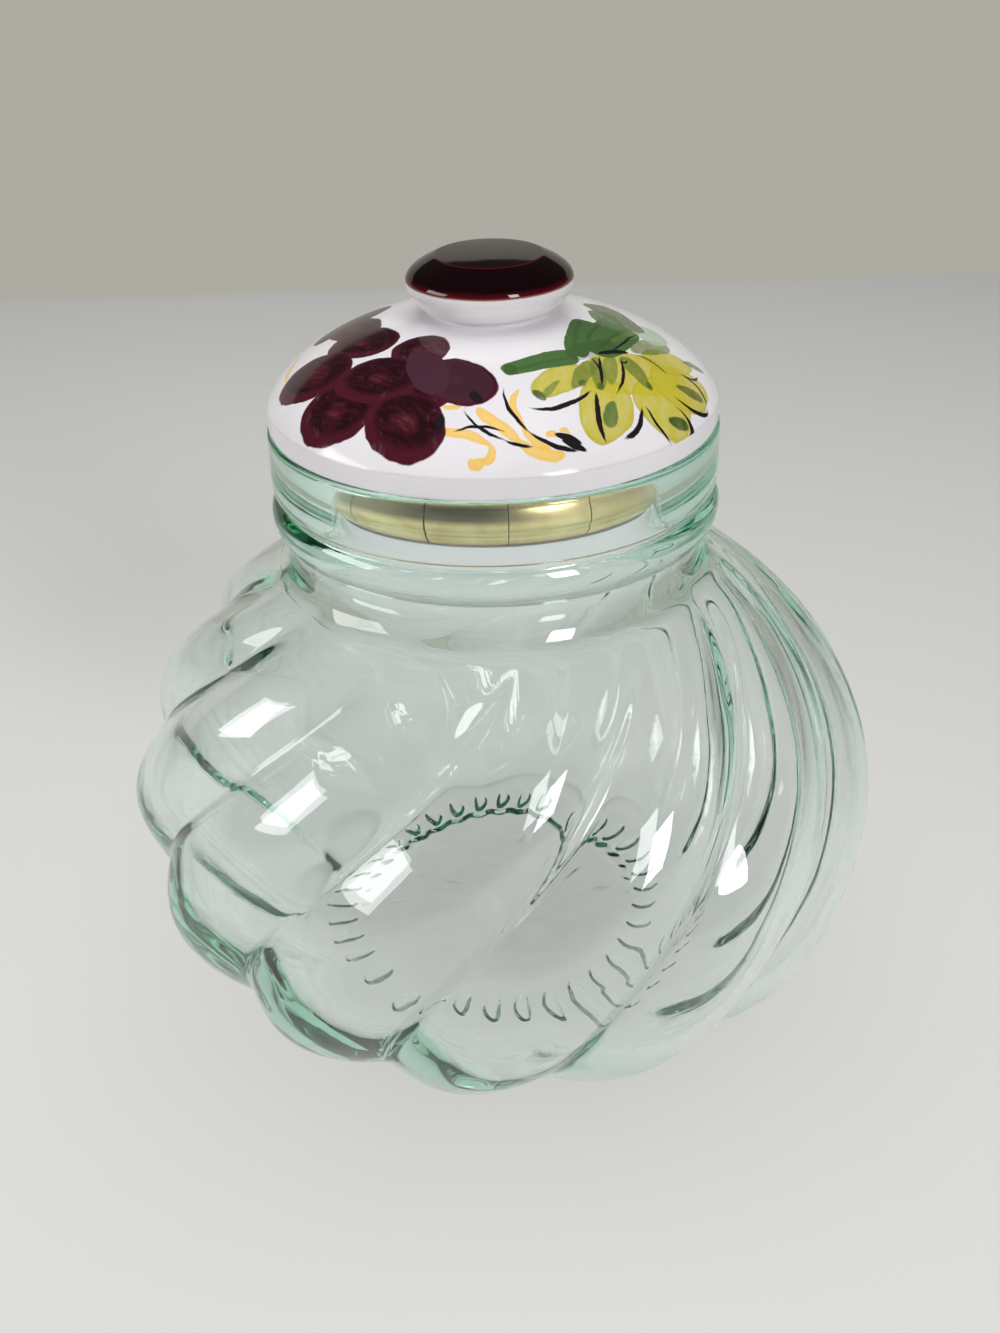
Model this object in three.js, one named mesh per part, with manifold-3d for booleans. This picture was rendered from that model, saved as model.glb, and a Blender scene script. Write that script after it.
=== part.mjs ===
// Glass storage jar with a swirled, lobed body and a ceramic lid that a brass spring band holds in the neck.
// Millimetres, +Z up, origin on the table at the centre of the base. The front of the jar faces -Y.
import * as THREE from 'three';
import { mergeVertices } from 'three/addons/utils/BufferGeometryUtils.js';
import Module from 'manifold-3d';

const wasm = await Module();
wasm.setup();

// Jar body
const BELLY_RADIUS = 105;
const BELLY_HEIGHT = 58;
const FOOT_RADIUS = 62;
const SHOULDER_RISE = 82;
const SHOULDER_POWER = 1.9;
const WALL = 5;
const FLOOR = 7;
const HEEL = 10;
const BASE_RING_RADIUS = 46;
const BASE_RECESS = 2.5;

// Swirled lobes
const LOBES = 12;
const LOBE_DEPTH = 6.5;
const FOOT_LOBE_DEPTH = 4.5;
const INNER_LOBE_SHARE = 0.75;
const GROOVE_ROUNDING = 0.18;
const GROOVE_ANGLE = 4.2;
const SWIRL_TURN = 64;
const SWIRL_START = 0.35;
const LOBE_FADE_IN = 12;
const LOBE_FADE_OUT = 24;

// Neck and mouth
const BORE_RADIUS = 44.5;
const NECK_WALL = 9.5;
const NECK_FILLET = 7;
const NECK_STRAIGHT = 2.7;
const BEAD_HEIGHT = 11.5;
const BEAD_OUT = 4.6;
const COLLAR_HEIGHT = 16.5;
const COLLAR_WALL = 13.5;
const COLLAR_GROOVE = 1.5;
const LIP_ROUND = 1.5;

// Lid and knob
const LID_INSET = 0.5;
const LID_EDGE = 5.3;
const LID_WALL = 6;
const LID_ROUND = 1;
const DOME_RISE = 21.4;
const DOME_SHOULDER = 2.5;
const KNOB_NECK_RADIUS = 13.7;
const KNOB_RADIUS = 20.8;
const KNOB_FLARE = 8.3;
const KNOB_WAIST = 0.8;
const KNOB_FILLET = 2.3;
const KNOB_BOWL_START = -75;
const KNOB_CROWN = 6.3;
const KNOB_SIDE = 3.8;
const KNOB_TOP_RADIUS = 13.5;

// Plug, liner and spring band
const PLUG_FLANGE = 7.7;
const PLUG_GAP = 2.5;
const PLUG_WALL = 5;
const PLUG_ROUND = 1;
const BAND_DROP = 4;
const BAND_HEIGHT = 12;
const BAND_THICKNESS = 0.6;
const BAND_BULGE = 2.6;
const BAND_STRIP = 2.5;
const BAND_LEAVES = 15;
const BAND_SLIT = 0.8;
const BAND_SPLIT = 1.8;
const BAND_SPLIT_ANGLE = -20.5;
const LINER_THICKNESS = 1;
const CLEARANCE = 0.3;

// Facets round the axis, steps along the outlines, and the distance that joins vertices
const FACETS_PER_LOBE = 6;
const ROUND_FACETS = 48;
const FACETS_PER_LEAF = 4;
const BODY_STEPS = 7;
const FILLET_STEPS = 3;
const BEAD_STEPS = 6;
const LIP_STEPS = 2;
const HOLLOW_STEPS = 4;
const DOME_STEPS = 6;
const KNOB_STEPS = 4;
const BAND_STEPS = 4;
const MERGE_DISTANCE = 1e-4;

const NECK_RADIUS = BORE_RADIUS + NECK_WALL;
const COLLAR_RADIUS = BORE_RADIUS + COLLAR_WALL;
const LID_RADIUS = COLLAR_RADIUS - LID_INSET;
const shoulderHeight = (radius, belly, rise) =>
  BELLY_HEIGHT + rise * (1 - (radius / belly) ** SHOULDER_POWER) ** (1 / SHOULDER_POWER);
const NECK_BASE = shoulderHeight(NECK_RADIUS, BELLY_RADIUS, SHOULDER_RISE);
const BEAD_BASE = NECK_BASE + NECK_FILLET + NECK_STRAIGHT;
const COLLAR_BASE = BEAD_BASE + BEAD_HEIGHT;
const LIP = COLLAR_BASE + COLLAR_HEIGHT;
const LID_SEAT = LIP + CLEARANCE;
const PLUG_RADIUS = BORE_RADIUS - PLUG_GAP;
const BAND_TOP = LID_SEAT - BAND_DROP;
const BAND_BOTTOM = BAND_TOP - BAND_HEIGHT;
const PLUG_BOTTOM = BAND_BOTTOM - CLEARANCE - PLUG_FLANGE;
const BAND_RADIUS = BORE_RADIUS - CLEARANCE;
const BAND_EDGE_RADIUS = BAND_RADIUS - BAND_BULGE;
const LINER_RADIUS = BAND_EDGE_RADIUS - BAND_THICKNESS - CLEARANCE;
const GROOVE_RADIUS = LINER_RADIUS - LINER_THICKNESS - CLEARANCE;
const HOLLOW_RADIUS = GROOVE_RADIUS - PLUG_WALL;

const degrees = THREE.MathUtils.degToRad;
const smoothstep = THREE.MathUtils.smoothstep;
const point = (r, z, depth = 0) => ({ r, z, depth });

// Points on an elliptical arc, by angle from the outward direction, with both ends
function arc(centreR, centreZ, radiusR, radiusZ, from, to, steps) {
  return Array.from({ length: steps + 1 }, (_, i) => {
    const angle = degrees(from + ((to - from) * i) / steps);
    return point(centreR + radiusR * Math.cos(angle), centreZ + radiusZ * Math.sin(angle));
  });
}

// Points on a curve that leaves start towards corner and arrives at end, without the two ends
function bend(start, corner, end, steps) {
  const curve = new THREE.QuadraticBezierCurve(
    new THREE.Vector2(start.r, start.z),
    new THREE.Vector2(corner.r, corner.z),
    new THREE.Vector2(end.r, end.z),
  );
  return curve.getPoints(steps).slice(1, -1).map((p) => point(p.x, p.y));
}

// How deep the grooves are at a height: shallow at the foot, gone at the neck
function grooveDepth(z) {
  const rise = FOOT_LOBE_DEPTH + (LOBE_DEPTH - FOOT_LOBE_DEPTH) * smoothstep(z, 0, LOBE_FADE_IN);
  return rise * (1 - smoothstep(z, NECK_BASE - LOBE_FADE_OUT, NECK_BASE));
}

// How far a lobe has turned at a height, steeper towards the shoulder
function swirl(z) {
  const height = THREE.MathUtils.clamp(z / NECK_BASE, 0, 1);
  return degrees(SWIRL_TURN) * (SWIRL_START * height + (1 - SWIRL_START) * height ** 2);
}

// Share of the groove depth at an angle from a groove: 1 in the groove, 0 on a crest
function grooveShare(angle) {
  const ridge = Math.hypot(Math.sin((angle * LOBES) / 2), GROOVE_ROUNDING) - GROOVE_ROUNDING;
  return 1 - ridge / (Math.hypot(1, GROOVE_ROUNDING) - GROOVE_ROUNDING);
}

// A closed mesh with shared vertices and no empty triangles
function closed(geometry) {
  geometry.deleteAttribute('normal');
  geometry.deleteAttribute('uv');
  const merged = mergeVertices(geometry, MERGE_DISTANCE);
  const index = merged.getIndex().array;
  const kept = [];
  for (let i = 0; i < index.length; i += 3) {
    const [a, b, c] = index.subarray(i, i + 3);
    if (a !== b && b !== c && c !== a) kept.push(a, b, c);
  }
  merged.setIndex(kept);
  merged.computeVertexNormals();
  return merged;
}

// Turns an outline about the Z axis, starting at the front
function turned(outline, facets) {
  const points = outline.map(({ r, z }) => new THREE.Vector2(r, z));
  return new THREE.LatheGeometry(points, facets).rotateX(Math.PI / 2);
}

// Turns an outline about the Z axis, twists it with height and sets back its grooves
function swirled(outline, facets) {
  const geometry = turned(outline, facets);
  const position = geometry.getAttribute('position');
  for (let i = 0; i < position.count; i++) {
    const { r, z, depth } = outline[i % outline.length];
    const step = (Math.floor(i / outline.length) / facets) * 2 * Math.PI;
    const angle = step + degrees(GROOVE_ANGLE) + swirl(z);
    const radius = r - depth * grooveShare(step);
    position.setXYZ(i, radius * Math.sin(angle), -radius * Math.cos(angle), z);
  }
  return geometry;
}

// One wall of the body from the foot ellipse over the belly to the shoulder, with its groove depths
function bodyWall(foot, base, belly, rise, neck, share) {
  const below = arc(foot, BELLY_HEIGHT, belly - foot, BELLY_HEIGHT - base, -90, 0, BODY_STEPS);
  const top = shoulderHeight(neck + NECK_FILLET, belly, rise);
  const end = Math.asin(((top - BELLY_HEIGHT) / rise) ** (SHOULDER_POWER / 2));
  const above = Array.from({ length: BODY_STEPS }, (_, i) => {
    const angle = (end * (i + 1)) / BODY_STEPS;
    const radius = belly * Math.cos(angle) ** (2 / SHOULDER_POWER);
    return point(radius, BELLY_HEIGHT + rise * Math.sin(angle) ** (2 / SHOULDER_POWER));
  });
  const wall = [...below, ...above];
  const meet = point(neck, shoulderHeight(neck, belly, rise));
  const finish = point(neck, meet.z + NECK_FILLET);
  wall.push(...bend(wall.at(-1), meet, finish, FILLET_STEPS), finish);
  return wall.map((p) => point(p.r, p.z, share * grooveDepth(p.z)));
}

function jarGeometry() {
  const outside = bodyWall(FOOT_RADIUS, 0, BELLY_RADIUS, SHOULDER_RISE, NECK_RADIUS, 1);
  const inside = bodyWall(
    FOOT_RADIUS - HEEL, FLOOR, BELLY_RADIUS - WALL, SHOULDER_RISE - WALL, BORE_RADIUS, INNER_LOBE_SHARE,
  );
  const half = BEAD_HEIGHT / 2;
  const line = THREE.MathUtils.radToDeg(Math.acos((COLLAR_RADIUS - COLLAR_GROOVE - NECK_RADIUS) / BEAD_OUT));
  const bead = arc(NECK_RADIUS, BEAD_BASE + half, BEAD_OUT, half, -90, line, BEAD_STEPS);
  const outline = [
    point(0, BASE_RECESS),
    point(BASE_RING_RADIUS - BASE_RECESS, BASE_RECESS),
    point(BASE_RING_RADIUS, 0),
    ...outside,
    ...bead,
    point(COLLAR_RADIUS, COLLAR_BASE + COLLAR_GROOVE),
    ...arc(COLLAR_RADIUS - LIP_ROUND, LIP - LIP_ROUND, LIP_ROUND, LIP_ROUND, 0, 90, LIP_STEPS),
    ...arc(BORE_RADIUS + LIP_ROUND, LIP - LIP_ROUND, LIP_ROUND, LIP_ROUND, 90, 180, LIP_STEPS),
    ...inside.reverse(),
    point(0, FLOOR),
  ];
  return closed(swirled(outline, LOBES * FACETS_PER_LOBE));
}

// Half width, rise and centre height of the elliptical dome through the lid's edge and the foot of the knob
function domeEllipse() {
  const width = LID_RADIUS + DOME_SHOULDER;
  const edgeShare = Math.sqrt(1 - (LID_RADIUS / width) ** 2);
  const knobShare = Math.sqrt(1 - (KNOB_NECK_RADIUS / width) ** 2);
  const rise = DOME_RISE / (knobShare - edgeShare);
  return { width, rise, centre: LID_SEAT + LID_EDGE - rise * edgeShare };
}

// The dome's outline between two radii, set back from the outside by a wall
function domeArc(fromRadius, toRadius, wall, steps) {
  const { width, rise, centre } = domeEllipse();
  const at = (radius) => THREE.MathUtils.radToDeg(Math.acos(radius / (width - wall)));
  return arc(0, centre, width - wall, rise - wall, at(fromRadius), at(toRadius), steps);
}

function lidGeometry() {
  const knobFoot = LID_SEAT + LID_EDGE + DOME_RISE;
  const brim = knobFoot + KNOB_FLARE;
  const crown = brim + KNOB_CROWN;
  const bowlWidth = KNOB_RADIUS - KNOB_NECK_RADIUS;
  const bowlDepth = KNOB_FLARE - KNOB_WAIST;
  const bowl = arc(KNOB_NECK_RADIUS, brim, bowlWidth, bowlDepth, KNOB_BOWL_START, 0, KNOB_STEPS);
  const crownEdge = point(KNOB_TOP_RADIUS, crown);
  const hollow = domeArc(0, HOLLOW_RADIUS, LID_WALL, HOLLOW_STEPS);
  hollow[0].r = 0;
  const outline = [
    ...hollow,
    point(HOLLOW_RADIUS, PLUG_BOTTOM + PLUG_ROUND),
    point(HOLLOW_RADIUS + PLUG_ROUND, PLUG_BOTTOM),
    point(PLUG_RADIUS - PLUG_ROUND, PLUG_BOTTOM),
    point(PLUG_RADIUS, PLUG_BOTTOM + PLUG_ROUND),
    point(PLUG_RADIUS, BAND_BOTTOM - CLEARANCE),
    point(GROOVE_RADIUS, BAND_BOTTOM - CLEARANCE),
    point(GROOVE_RADIUS, BAND_TOP + CLEARANCE),
    point(PLUG_RADIUS, BAND_TOP + CLEARANCE),
    point(PLUG_RADIUS, LID_SEAT),
    point(LID_RADIUS - LID_ROUND, LID_SEAT),
    point(LID_RADIUS, LID_SEAT + LID_ROUND),
    ...domeArc(LID_RADIUS, KNOB_NECK_RADIUS + KNOB_FILLET, 0, DOME_STEPS),
    point(KNOB_NECK_RADIUS, knobFoot),
    ...bowl,
    ...bend(bowl.at(-1), point(KNOB_RADIUS, brim + KNOB_SIDE), crownEdge, KNOB_STEPS),
    crownEdge,
    point(0, crown),
  ];
  return closed(turned(outline, ROUND_FACETS));
}

function linerGeometry() {
  const inner = LINER_RADIUS - LINER_THICKNESS;
  const outline = [
    point(inner, BAND_BOTTOM),
    point(LINER_RADIUS, BAND_BOTTOM),
    point(LINER_RADIUS, BAND_TOP),
    point(inner, BAND_TOP),
    point(inner, BAND_BOTTOM),
  ];
  return closed(turned(outline, ROUND_FACETS));
}

function solid(geometry) {
  const merged = closed(geometry);
  const vertProperties = new Float32Array(merged.getAttribute('position').array);
  const triVerts = new Uint32Array(merged.getIndex().array);
  return new wasm.Manifold(new wasm.Mesh({ numProp: 3, vertProperties, triVerts }));
}

// A cutter for a gap through the band, at an angle from the front
function bandGap(width, height, angle) {
  const reach = 2 * (BAND_RADIUS - GROOVE_RADIUS);
  const box = new THREE.BoxGeometry(width, reach, height);
  box.translate(0, -(BAND_RADIUS + GROOVE_RADIUS) / 2, BAND_BOTTOM - BAND_STRIP + height / 2);
  return solid(box.rotateZ(angle));
}

// A hoop that bulges towards the glass, split once and slit into leaves that its top strip joins
function bandGeometry() {
  const middle = (BAND_TOP + BAND_BOTTOM) / 2;
  const half = BAND_HEIGHT / 2;
  const radius = (half ** 2 + BAND_BULGE ** 2) / (2 * BAND_BULGE);
  const reach = THREE.MathUtils.radToDeg(Math.asin(half / radius));
  const outer = arc(BAND_RADIUS - radius, middle, radius, radius, -reach, reach, BAND_STEPS);
  const inner = outer.map((p) => point(p.r - BAND_THICKNESS, p.z)).reverse();
  const outline = [...outer, ...inner, outer[0]];
  let band = solid(turned(outline, BAND_LEAVES * FACETS_PER_LEAF));
  for (let leaf = 0; leaf < BAND_LEAVES; leaf++) {
    const angle = degrees(BAND_SPLIT_ANGLE) + (leaf / BAND_LEAVES) * 2 * Math.PI;
    const split = leaf === 0;
    const height = split ? BAND_HEIGHT + 2 * BAND_STRIP : BAND_HEIGHT;
    band = band.subtract(bandGap(split ? BAND_SPLIT : BAND_SLIT, height, angle));
  }
  const mesh = band.getMesh();
  const geometry = new THREE.BufferGeometry();
  geometry.setAttribute('position', new THREE.BufferAttribute(mesh.vertProperties, 3));
  geometry.setIndex(new THREE.BufferAttribute(mesh.triVerts, 1));
  geometry.computeVertexNormals();
  return geometry;
}

function piece(name, geometry, material) {
  const mesh = new THREE.Mesh(geometry, new THREE.MeshStandardMaterial(material));
  mesh.name = name;
  return mesh;
}

const glass = { color: 0xcfe3d8, roughness: 0.05, metalness: 0, transparent: true, opacity: 0.35 };
const ceramic = { color: 0xf2eff0, roughness: 0.12, metalness: 0 };
const brass = { color: 0xd9c27a, roughness: 0.3, metalness: 1 };
const rubber = { color: 0x5a4030, roughness: 0.8, metalness: 0 };

const lid = new THREE.Group();
lid.add(
  piece('ceramic_lid', lidGeometry(), ceramic),
  piece('band_liner', linerGeometry(), rubber),
  piece('spring_band', bandGeometry(), brass),
);

const jar = new THREE.Group();
jar.add(piece('glass_jar', jarGeometry(), glass), lid);

export default jar;
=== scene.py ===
# A glass storage jar: swirled pale green glass, a painted ceramic lid and a brass spring band.
# Metres, +Z up, the front of the jar faces -Y, and the origin is on the table under the jar's axis.
import math

import bmesh
import bpy
from mathutils import Matrix, Vector, noise


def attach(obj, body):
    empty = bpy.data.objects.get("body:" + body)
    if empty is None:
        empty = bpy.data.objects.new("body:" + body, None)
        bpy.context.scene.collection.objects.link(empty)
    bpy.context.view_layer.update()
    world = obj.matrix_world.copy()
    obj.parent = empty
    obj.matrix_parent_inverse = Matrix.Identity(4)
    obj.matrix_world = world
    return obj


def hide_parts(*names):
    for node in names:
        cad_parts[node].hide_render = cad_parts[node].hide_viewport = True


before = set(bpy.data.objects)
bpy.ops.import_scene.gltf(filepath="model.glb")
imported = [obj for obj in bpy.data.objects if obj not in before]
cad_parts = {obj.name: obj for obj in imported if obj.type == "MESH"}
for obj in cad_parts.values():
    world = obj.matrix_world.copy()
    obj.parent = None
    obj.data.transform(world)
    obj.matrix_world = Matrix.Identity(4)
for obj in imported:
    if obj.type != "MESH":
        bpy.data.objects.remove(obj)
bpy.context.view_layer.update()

MM = 0.001

# Jar body
BELLY_RADIUS = 105 * MM
BELLY_INSET = 0.5 * MM
BELLY_HEIGHT = 58 * MM
FOOT_RADIUS = 62 * MM
SHOULDER_RISE = 82 * MM
SHOULDER_POWER = 1.9
WALL = 5 * MM
FLOOR = 5.5 * MM
HEEL = 3.5 * MM
HOLLOW_SHIFT = Vector((3.2, 0.2)) * MM
HOLLOW_SHIFT_END = 75 * MM
BASE_RING_RADIUS = 46 * MM
BASE_RECESS = 2.5 * MM
RECESS_RADIUS = 40 * MM
RECESS_WAVES = 0.7 * MM
RECESS_WAVE_LENGTH = 9 * MM
RECESS_WAVE_FADE = 8 * MM
RECESS_SCALLOP = 0.7 * MM

# Crescent knurls on the ring that the jar stands on
KNURLS = 34
KNURL_RING_WIDTH = 11 * MM
KNURL_RELIEF = 1.5 * MM
KNURL_WIDTH = 2.5 * MM
KNURL_CURVE = 1 * MM
KNURL_CUTS = 2

# Swirled lobes
LOBES = 12
LOBE_DEPTH = 6.5 * MM
FOOT_LOBE_DEPTH = 4.5 * MM
INNER_LOBE_SHARE = 0.95
GROOVE_ROUNDING = 0.1
INNER_GROOVE_ROUNDING = 0.2
GROOVE_CROWDING = 0.55
GROOVE_ANGLE = math.radians(4.2)
SWIRL_TURN = math.radians(64)
SWIRL_START = 0.35
LOBE_FADE_IN = 12 * MM
LOBE_FADE_OUT = 24 * MM

# Neck and mouth
BORE_RADIUS = 44.5 * MM
NECK_WALL = 9.5 * MM
NECK_FILLET = 7 * MM
NECK_STRAIGHT = 2.7 * MM
BEAD_HEIGHT = 11.5 * MM
BEAD_OUT = 4.6 * MM
COLLAR_HEIGHT = 16.5 * MM
COLLAR_WALL = 13.5 * MM
COLLAR_GROOVE = 1.5 * MM
COLLAR_ROUNDING = [(0.8, 0.1), (0.3, 0.5)]
LIP_ROUND = 1.5 * MM

# Lid and knob
LID_INSET = 0.5 * MM
LID_EDGE = 5.3 * MM
LID_WALL = 6 * MM
LID_ROUND = 1 * MM
DOME_RISE = 21.4 * MM
DOME_SHOULDER = 2.5 * MM
KNOB_NECK_RADIUS = 13.7 * MM
KNOB_RADIUS = 20.8 * MM
KNOB_FLARE = 8.3 * MM
KNOB_FILLET = 2.3 * MM
KNOB_WAIST = 0.8 * MM
KNOB_BOWL_START = -75
KNOB_CROWN = 6.3 * MM
KNOB_SIDE = 2.8 * MM
KNOB_TOP_RADIUS = 13.5 * MM
KNOB_TOP_RISE = 0.5 * MM
EDGE_SUPPORT = 0.3 * MM

# Plug, liner and spring band
PLUG_FLANGE = 7.7 * MM
PLUG_GAP = 2.5 * MM
PLUG_WALL = 5 * MM
PLUG_ROUND = 1 * MM
BAND_DROP = 4 * MM
BAND_HEIGHT = 12 * MM
BAND_THICKNESS = 0.6 * MM
BAND_BULGE = 2.6 * MM
BAND_STRIP = 2.5 * MM
BAND_LEAVES = 15
BAND_SLIT = 0.25 * MM
BAND_SPLIT = 0.4 * MM
BAND_SPLIT_ANGLE = math.radians(-20.5)
BAND_CREASE_SHARE = 0.3
BAND_CREASE_DEPTH = 0.35 * MM
LINER_THICKNESS = 1 * MM
CLEARANCE = 0.3 * MM

# Facets round the axis, and the distance that joins vertices
JAR_FACETS = 25 * LOBES
LID_FACETS = 192
LINER_FACETS = 144
FACETS_PER_LEAF = 16
MERGE_DISTANCE = 0.001 * MM

# Steps along the outlines
HEEL_STEPS = 40
SHOULDER_STEPS = 44
NECK_STEPS = 9
RECESS_STEPS = 18
RECESS_SLOPE_STEPS = 10
KNURL_RING_STEPS = 14
FOOT_STEPS = 4
BEAD_STEPS = 16
COLLAR_STEPS = 5
ROUND_STEPS = 6
FLOOR_STEPS = 10
DOME_STEPS = 48
LID_HOLLOW_STEPS = 24
PLUG_ROUND_STEPS = 5
KNOB_BOWL_STEPS = 14
KNOB_WAIST_STEPS = 8
KNOB_SIDE_STEPS = 20
KNOB_TOP_STEPS = 8
BAND_STEPS = 30
STAGE_STEPS = 12

# Angles between faces, in degrees, past which an edge is left sharp
JAR_SHARP = 70
LID_SHARP = 60
BAND_SHARP = 40


def shoulder_height(radius, belly, rise):
    """Height at which a shoulder of that belly and rise has a radius."""
    share = 1 - (radius / belly) ** SHOULDER_POWER
    return BELLY_HEIGHT + rise * share ** (1 / SHOULDER_POWER)


NECK_RADIUS = BORE_RADIUS + NECK_WALL
COLLAR_RADIUS = BORE_RADIUS + COLLAR_WALL
LID_RADIUS = COLLAR_RADIUS - LID_INSET
NECK_BASE = shoulder_height(NECK_RADIUS, BELLY_RADIUS, SHOULDER_RISE)
BEAD_BASE = NECK_BASE + NECK_FILLET + NECK_STRAIGHT
COLLAR_BASE = BEAD_BASE + BEAD_HEIGHT
LIP = COLLAR_BASE + COLLAR_HEIGHT
LID_SEAT = LIP + CLEARANCE
DOME_FOOT = LID_SEAT + LID_EDGE
KNOB_FOOT = DOME_FOOT + DOME_RISE
KNOB_BRIM = KNOB_FOOT + KNOB_FLARE
KNOB_TOP = KNOB_BRIM + KNOB_CROWN
PLUG_RADIUS = BORE_RADIUS - PLUG_GAP
BAND_TOP = LID_SEAT - BAND_DROP
BAND_BOTTOM = BAND_TOP - BAND_HEIGHT
BAND_MIDDLE = (BAND_TOP + BAND_BOTTOM) / 2
PLUG_BOTTOM = BAND_BOTTOM - CLEARANCE - PLUG_FLANGE
BAND_RADIUS = BORE_RADIUS - CLEARANCE
BAND_EDGE_RADIUS = BAND_RADIUS - BAND_BULGE
LINER_RADIUS = BAND_EDGE_RADIUS - BAND_THICKNESS - CLEARANCE
GROOVE_RADIUS = LINER_RADIUS - LINER_THICKNESS - CLEARANCE
HOLLOW_RADIUS = GROOVE_RADIUS - PLUG_WALL


# Outlines and meshes


def clamp(value):
    return min(max(value, 0), 1)


def smoothstep(value, low, high):
    share = clamp((value - low) / (high - low))
    return share * share * (3 - 2 * share)


def line(start, end, steps):
    """Points from start towards end, without the end."""
    shares = [i / steps for i in range(steps)]
    return [tuple(a + (b - a) * s for a, b in zip(start, end)) for s in shares]


def arc(centre_r, centre_z, radius_r, radius_z, start, end, steps):
    """Points of an elliptical arc, by degrees from the outward direction, with both ends."""
    angles = [math.radians(start + (end - start) * i / steps) for i in range(steps + 1)]
    return [(centre_r + radius_r * math.cos(a), centre_z + radius_z * math.sin(a)) for a in angles]


def bend(start, corner, end, steps):
    """Points of a curve that leaves start towards corner and arrives at end, without its two ends."""
    shares = [i / steps for i in range(1, steps)]
    return [
        tuple((1 - s) ** 2 * a + 2 * s * (1 - s) * b + s * s * c for a, b, c in zip(start, corner, end))
        for s in shares
    ]


def spun(shape, outline, closed=False, start=0.0, sweep=2 * math.pi, steps=LID_FACETS):
    """Spins an outline of radius and height points about the jar's axis, from an angle off the front."""
    turn = Matrix.Rotation(start, 3, "Z")
    points = [shape.verts.new(turn @ Vector((0, -r, z))) for r, z in outline]
    pairs = list(zip(points, points[1:]))
    if closed:
        pairs.append((points[-1], points[0]))
    edges = [shape.edges.new(pair) for pair in pairs]
    bmesh.ops.spin(
        shape, geom=points + edges, axis=(0, 0, 1), cent=(0, 0, 0),
        angle=sweep, steps=steps, use_merge=sweep == 2 * math.pi,
    )


def tidy(shape):
    """Closes seams and poles and turns the faces outwards."""
    bmesh.ops.remove_doubles(shape, verts=shape.verts, dist=MERGE_DISTANCE)
    bmesh.ops.recalc_face_normals(shape, faces=shape.faces)


def finished(shape, name, body, node, finishes, sharp):
    """A piece from a mesh, with its body, the solid that it stands for and its finishes."""
    mesh = bpy.data.meshes.new(name)
    shape.to_mesh(mesh)
    shape.free()
    mesh.shade_smooth()
    mesh.set_sharp_from_angle(angle=math.radians(sharp))
    for finish in finishes:
        mesh.materials.append(finish)
    piece = bpy.data.objects.new(name, mesh)
    bpy.context.scene.collection.objects.link(piece)
    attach(piece, body)
    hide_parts(node)
    return piece


# Jar


def groove_depth(z):
    """How deep the grooves are at a height: shallow at the foot, gone at the neck."""
    rise = FOOT_LOBE_DEPTH + (LOBE_DEPTH - FOOT_LOBE_DEPTH) * smoothstep(z, 0, LOBE_FADE_IN)
    return rise * (1 - smoothstep(z, NECK_BASE - LOBE_FADE_OUT, NECK_BASE))


def swirl(z):
    """How far a lobe has turned at a height, steeper towards the shoulder."""
    height = clamp(z / NECK_BASE)
    return SWIRL_TURN * (SWIRL_START * height + (1 - SWIRL_START) * height ** 2)


def groove_share(angle, rounding):
    """Share of the groove depth at an angle from a groove: 1 in the groove, 0 on a crest."""
    ridge = math.hypot(math.sin(angle * LOBES / 2), rounding) - rounding
    return 1 - ridge / (math.hypot(1, rounding) - rounding)


def crowded(angle):
    """An angle moved towards the nearest groove, so that the mesh is finest along the grooves."""
    return angle - GROOVE_CROWDING * math.sin(angle * LOBES) / LOBES


def body_wall(foot, base, belly, rise, neck):
    """One wall of the body, from the foot ellipse over the belly and the shoulder to the neck."""
    below = arc(foot, BELLY_HEIGHT, belly - foot, BELLY_HEIGHT - base, -90, 0, HEEL_STEPS)
    top = shoulder_height(neck + NECK_FILLET, belly, rise)
    end = math.asin(((top - BELLY_HEIGHT) / rise) ** (SHOULDER_POWER / 2))
    above = []
    for step in range(1, SHOULDER_STEPS + 1):
        angle = end * step / SHOULDER_STEPS
        radius = belly * math.cos(angle) ** (2 / SHOULDER_POWER)
        above.append((radius, BELLY_HEIGHT + rise * math.sin(angle) ** (2 / SHOULDER_POWER)))
    meet = (neck, shoulder_height(neck, belly, rise))
    finish = (neck, meet[1] + NECK_FILLET)
    return below + above + bend(above[-1], meet, finish, NECK_STEPS) + [finish]


def knurl(radius, angle):
    """How far a crescent stands out of the ring at a point."""
    along = (radius - BASE_RING_RADIUS) / KNURL_RING_WIDTH * 2 - 1
    if abs(along) >= 1:
        return 0
    pitch = 2 * math.pi / KNURLS
    across = ((angle / pitch) % 1 - 0.5) * pitch * radius - KNURL_CURVE * (along * along - 0.5)
    crest = clamp(1 - along ** 2 - (across / KNURL_WIDTH) ** 2)
    return KNURL_RELIEF * math.sqrt(crest)


def unevenness(x, y):
    """How far the recess of the base rises and falls, as pressed glass does."""
    fade = 1 - smoothstep(math.hypot(x, y), RECESS_RADIUS - RECESS_WAVE_FADE, RECESS_RADIUS)
    return RECESS_WAVES * fade * noise.noise(Vector((x, y, 0)) / RECESS_WAVE_LENGTH)


def scallop(radius, angle):
    """How far the recess's edge swings in and out between the crescents."""
    middle, reach = (RECESS_RADIUS + BASE_RING_RADIUS) / 2, BASE_RING_RADIUS - RECESS_RADIUS
    return RECESS_SCALLOP * clamp(1 - abs(radius - middle) / reach) * math.cos(KNURLS * angle)


def on_knurl_ring(edge):
    """Whether an edge runs round the standing ring, where the crescents need a finer mesh."""
    radii = [math.hypot(point.co.x, point.co.y) for point in edge.verts]
    inside, outside = BASE_RING_RADIUS, BASE_RING_RADIUS + KNURL_RING_WIDTH
    level = all(abs(point.co.z - KNURL_RELIEF) < MERGE_DISTANCE for point in edge.verts)
    return level and abs(radii[0] - radii[1]) < MERGE_DISTANCE and inside - MM < radii[0] < outside + MM


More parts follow.
